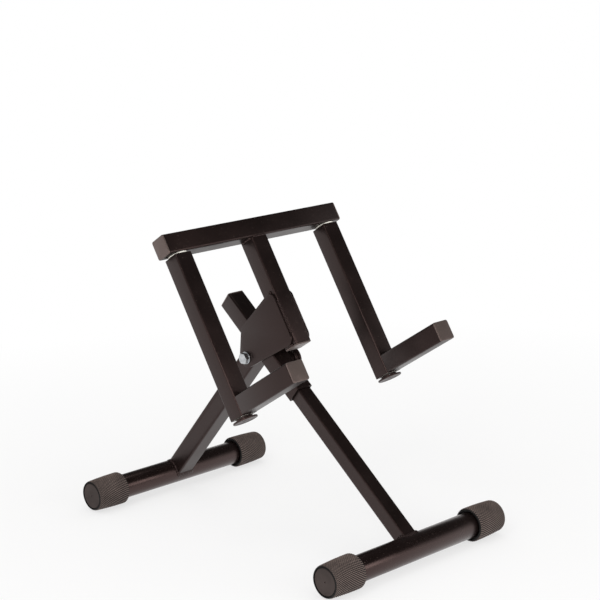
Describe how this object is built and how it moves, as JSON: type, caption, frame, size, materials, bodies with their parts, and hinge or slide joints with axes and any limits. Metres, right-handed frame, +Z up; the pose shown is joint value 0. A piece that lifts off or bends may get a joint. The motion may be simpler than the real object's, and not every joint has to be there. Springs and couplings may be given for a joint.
{
  "type": "folding tilt-back stand",
  "caption": "Folding tilt-back floor stand for a boxy load: crossing legs on round foot bars, a leaning cradle and swing-in support arms.",
  "frame": {"origin": "on the floor, midway between the two foot bars", "axes": "+X to the right along the foot bars, +Y from the front foot bar to the rear one, +Z up"},
  "size_m": [0.293, 0.4838, 0.39],
  "materials": {
    "powder_coated_tube": "satin black powder coat",
    "foot_bar_tube": "semi-gloss black powder coat",
    "cap_rubber": "matte, finely ribbed",
    "plug_plastic": "satin",
    "knob_plastic": "satin",
    "bush_nylon": "natural",
    "zinc_fastener": "bright zinc plate"
  },
  "bodies": {
    "frame": {"leg_sleeve": "powder_coated_tube", "sleeve_end_plug": "plug_plastic", "clamp_boss": "powder_coated_tube", "spine_tube": "powder_coated_tube", "spine_end_plug": "plug_plastic", "cross_tube": "powder_coated_tube", "cross_tube_plug_left": "plug_plastic", "cross_tube_plug_right": "plug_plastic", "post_left": "powder_coated_tube", "post_right": "powder_coated_tube", "post_washer_left": "bush_nylon", "post_washer_right": "bush_nylon", "hinge_plate_left": "powder_coated_tube", "hinge_plate_right": "powder_coated_tube", "hinge_washer_left": "zinc_fastener", "hinge_washer_right": "zinc_fastener", "hinge_bolt": "zinc_fastener", "hinge_nut": "zinc_fastener"},
    "front_leg": {"front_leg_tube": "powder_coated_tube", "front_leg_plug": "plug_plastic", "front_foot_bar": "foot_bar_tube", "front_end_cap_left": "cap_rubber", "front_end_cap_right": "cap_rubber"},
    "rear_leg": {"rear_leg_tube": "powder_coated_tube", "rear_leg_bush": "zinc_fastener", "rear_foot_bar": "foot_bar_tube", "rear_end_cap_left": "cap_rubber", "rear_end_cap_right": "cap_rubber"},
    "bracket_left": {"upright_left": "powder_coated_tube", "arm_left": "powder_coated_tube", "arm_plug_left": "plug_plastic", "lower_bush_left": "bush_nylon", "upper_bush_left": "bush_nylon"},
    "bracket_right": {"upright_right": "powder_coated_tube", "arm_right": "powder_coated_tube", "arm_plug_right": "plug_plastic", "lower_bush_right": "bush_nylon", "upper_bush_right": "bush_nylon"},
    "bracket_clamp_left": {"bracket_clamp_left_knob": "knob_plastic", "bracket_clamp_left_screw": "zinc_fastener"},
    "bracket_clamp_right": {"bracket_clamp_right_knob": "knob_plastic", "bracket_clamp_right_screw": "zinc_fastener"},
    "leg_clamp": {"leg_clamp_knob": "knob_plastic", "leg_clamp_screw": "zinc_fastener"}
  },
  "joints": [
    {"name": "front_leg_slide", "type": "slide", "parent": "frame", "child": "front_leg", "axis": [0, 0.7676, 0.6409], "range_m": [-0.055, 0.03]},
    {"name": "rear_leg_fold", "type": "hinge", "parent": "frame", "child": "rear_leg", "pos_m": [0, 0.04811, 0.21206], "axis": [-1, 0, 0], "range_deg": [0, 91.5]},
    {"name": "bracket_left_swing", "type": "hinge", "parent": "frame", "child": "bracket_left", "pos_m": [-0.123, -0.05411, 0.20219], "axis": [0, 0.518, 0.8554], "range_deg": [0, 90]},
    {"name": "bracket_right_swing", "type": "hinge", "parent": "frame", "child": "bracket_right", "pos_m": [0.123, -0.05411, 0.20219], "axis": [0, -0.518, -0.8554], "range_deg": [0, 90]},
    {"name": "bracket_clamp_left_turn", "type": "hinge", "parent": "frame", "child": "bracket_clamp_left", "pos_m": [-0.123, -0.06722, 0.18055], "axis": [0, 0.518, 0.8554], "continuous": true},
    {"name": "bracket_clamp_right_turn", "type": "hinge", "parent": "frame", "child": "bracket_clamp_right", "pos_m": [0.123, -0.06722, 0.18055], "axis": [0, 0.518, 0.8554], "continuous": true},
    {"name": "leg_clamp_turn", "type": "hinge", "parent": "frame", "child": "leg_clamp", "pos_m": [0.0211, 0.00562, 0.21018], "axis": [1, 0, 0], "continuous": true}
  ]
}
